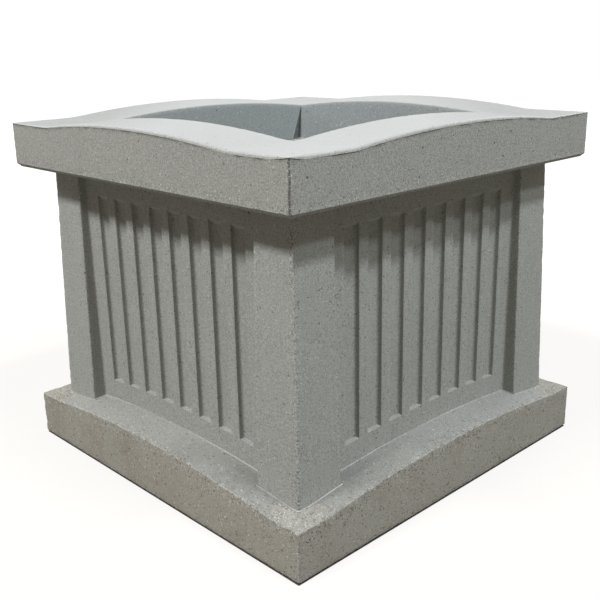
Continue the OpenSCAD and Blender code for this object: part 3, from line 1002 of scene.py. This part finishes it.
def moulded_finish(name, tone, grain_size, relief, roughness):
    """Matt plastic or rubber with a fine moulded grain and a little dust."""
    finish, tree, principled = new_finish(name)
    point = row_point(tree)
    dust_tone = (0.42, 0.40, 0.36, 1.0)
    grain = cloud(tree, point, 1.0 / grain_size)
    dust = reckon(tree, "MULTIPLY", cloud(tree, point, 14.0, detail=4.0), 0.30, clamp=True)
    tree.links.new(blend_colours(tree, dust, tone, dust_tone), principled.inputs["Base Color"])
    tree.links.new(reckon(tree, "ADD", reckon(tree, "MULTIPLY", grain, 0.2), roughness),
                   principled.inputs["Roughness"])
    raise_grain(tree, principled, grain, relief)
    return finish


sleeve_plastic = moulded_finish("sleeve_plastic", (0.30, 0.31, 0.32, 1.0), grain_size=0.0012,
                                relief=0.00006, roughness=0.42)
strainer_plastic = moulded_finish("strainer_plastic", (0.022, 0.024, 0.025, 1.0),
                                  grain_size=0.0009, relief=0.00008, roughness=0.46)
repaint(sleeve_plastic, "drain_sleeve")
repaint(strainer_plastic, "drain_strainer")


# Bearing pads
# Squares of black sheet rubber let into the underside. They stand a little proud of it and
# leave the thin line of shadow on which the planter seems to float.

pad_rubber = moulded_finish("pad_rubber", (0.018, 0.018, 0.018, 1.0), grain_size=0.0016,
                            relief=0.00020, roughness=0.75)
repaint(pad_rubber, "bearing_pads")


# Studio
# A pale floor with no edge in sight, one strip light square to the left face, two to the right
# face, weaker ones behind, a warm low fill before each front face, and an even surround.

floor_reach = 30.0
shaded_half = plinth_half - 0.001
floor_corners = [(x, y, 0) for half in (floor_reach, shaded_half)
                 for x, y in ((-half, -half), (half, -half), (half, half), (-half, half))]
floor_faces = [(side, (side + 1) % 4, (side + 1) % 4 + 4, side + 4) for side in range(4)]
floor_mesh = bpy.data.meshes.new("floor")
floor_mesh.from_pydata(floor_corners, [], floor_faces + [(4, 5, 6, 7)])
under_planter = floor_mesh.polygons[-1]
under_planter.material_index = 1
floor = bpy.data.objects.new("floor", floor_mesh)
bpy.context.scene.collection.objects.link(floor)


def rays_to_background(tree):
    """1 for rays from the camera, a glossy face or a clear one, and 0 for light on the planter."""
    rays = node(tree, "ShaderNodeLightPath").outputs
    seen = reckon(tree, "MAXIMUM", rays["Is Camera Ray"], rays["Is Glossy Ray"])
    return reckon(tree, "MAXIMUM", seen, rays["Is Transmission Ray"])


def floor_finish(name, tone, near_glow, far_glow):
    """Floor that returns little light to the planter. Where it is seen it is lifted to a pale
    tone near the planter and to white further off."""
    finish, tree, principled = new_finish(name)
    principled.inputs["Base Color"].default_value = tone
    principled.inputs["Roughness"].default_value = 1.0
    principled.inputs["Specular IOR Level"].default_value = 0.0
    principled.inputs["Emission Strength"].default_value = 1.0
    seen = rays_to_background(tree)
    away = node(tree, "ShaderNodeVectorMath", {0: row_point(tree)}, operation="LENGTH").outputs[1]
    glow = node(tree, "ShaderNodeMapRange", {
        "Value": away, "From Min": 0.8, "From Max": 1.7, "To Min": near_glow, "To Max": far_glow},
        interpolation_type="SMOOTHSTEP")
    level = reckon(tree, "MULTIPLY", seen, glow.outputs[0])
    tree.links.new(blend_colours(tree, level, (0, 0, 0, 1), (1, 1, 1, 1)),
                   principled.inputs["Emission Color"])
    return finish


floor_mesh.materials.append(floor_finish("floor_paint", (0.13, 0.118, 0.10, 1.0), 0.82, 1.0))
floor_mesh.materials.append(floor_finish("floor_in_shade", (0.10, 0.09, 0.08, 1.0), 0.0, 0.0))

soft_level = 0.12
soft_colour = (1.0, 0.92, 0.78, 1.0)
seen_colour = (1.0, 1.0, 1.0, 1.0)
world = bpy.data.worlds.new("surround")
world.use_nodes = True
bpy.context.scene.world = world
tree = world.node_tree
surround = tree.nodes["Background"]
seen = rays_to_background(tree)
tree.links.new(blend_colours(tree, seen, soft_colour, seen_colour), surround.inputs["Color"])
tree.links.new(reckon(tree, "MULTIPLY_ADD", seen, 1.0 - soft_level, soft_level),
               surround.inputs["Strength"])

light_distance = 7.0
light_aim = Vector((0, 0, 0.33))


def strip_light(name, azimuth, elevation, level, length, depth, colour):
    """A level strip of light aimed at the planter, giving level W/m2 square to its beam."""
    light = bpy.data.lights.new(name, "AREA")
    light.shape = "RECTANGLE"
    light.size = length
    light.size_y = depth
    light.energy = level * math.pi * light_distance ** 2
    light.color = colour
    made = bpy.data.objects.new(name, light)
    side = math.radians(azimuth)
    height = math.radians(elevation)
    toward = Vector((math.sin(side) * math.cos(height), -math.cos(side) * math.cos(height),
                     math.sin(height)))
    made.location = toward * light_distance + light_aim
    made.rotation_euler = toward.to_track_quat("Z", "Y").to_euler()
    bpy.context.scene.collection.objects.link(made)


daylight = (0.985, 1.0, 1.02)
cool_daylight = (0.94, 1.0, 1.05)
warm_fill = (1.0, 0.90, 0.74)
strip_light("left_strip", -5, 53, 2.88, 1.7, 0.7, daylight)
strip_light("right_strip_low", 96, 49, 0.73, 1.7, 0.5, cool_daylight)
strip_light("right_strip_high", 96, 59, 1.89, 1.7, 0.5, cool_daylight)
strip_light("left_fill", -2, 9, 0.085, 3.0, 1.5, warm_fill)
strip_light("right_fill", 92, 9, 0.085, 3.0, 1.5, warm_fill)
strip_light("back_left_strip", 275, 25, 0.9, 2.5, 1.0, daylight)
strip_light("back_right_strip", 185, 25, 0.9, 2.5, 1.0, daylight)

# The camera stands where the photograph was taken from: a little over a metre from the near
# corner, somewhat higher than the rim, and tilted by about a degree.
focal_pixels = 866.1
frame_pixels = 600
camera_place = Vector((1.1893, -1.1334, 0.7884))
azimuth, elevation, roll = (math.radians(angle) for angle in (-43.511, 17.216, -1.239))
camera = bpy.data.cameras.new("camera")
camera.sensor_width = 36.0
camera.lens = camera.sensor_width * focal_pixels / frame_pixels
ahead = -Vector((math.cos(elevation) * math.cos(azimuth), math.cos(elevation) * math.sin(azimuth),
                 math.sin(elevation)))
right = ahead.cross(Vector((0, 0, 1))).normalized()
down = ahead.cross(right)
across = right * math.cos(roll) - down * math.sin(roll)
below = right * math.sin(roll) + down * math.cos(roll)
viewer = bpy.data.objects.new("camera", camera)
viewer.matrix_world = Matrix.Translation(camera_place) @ Matrix(
    (across, -below, -ahead)).transposed().to_4x4()
bpy.context.scene.collection.objects.link(viewer)
bpy.context.scene.camera = viewer
bpy.context.scene.view_settings.view_transform = "Standard"
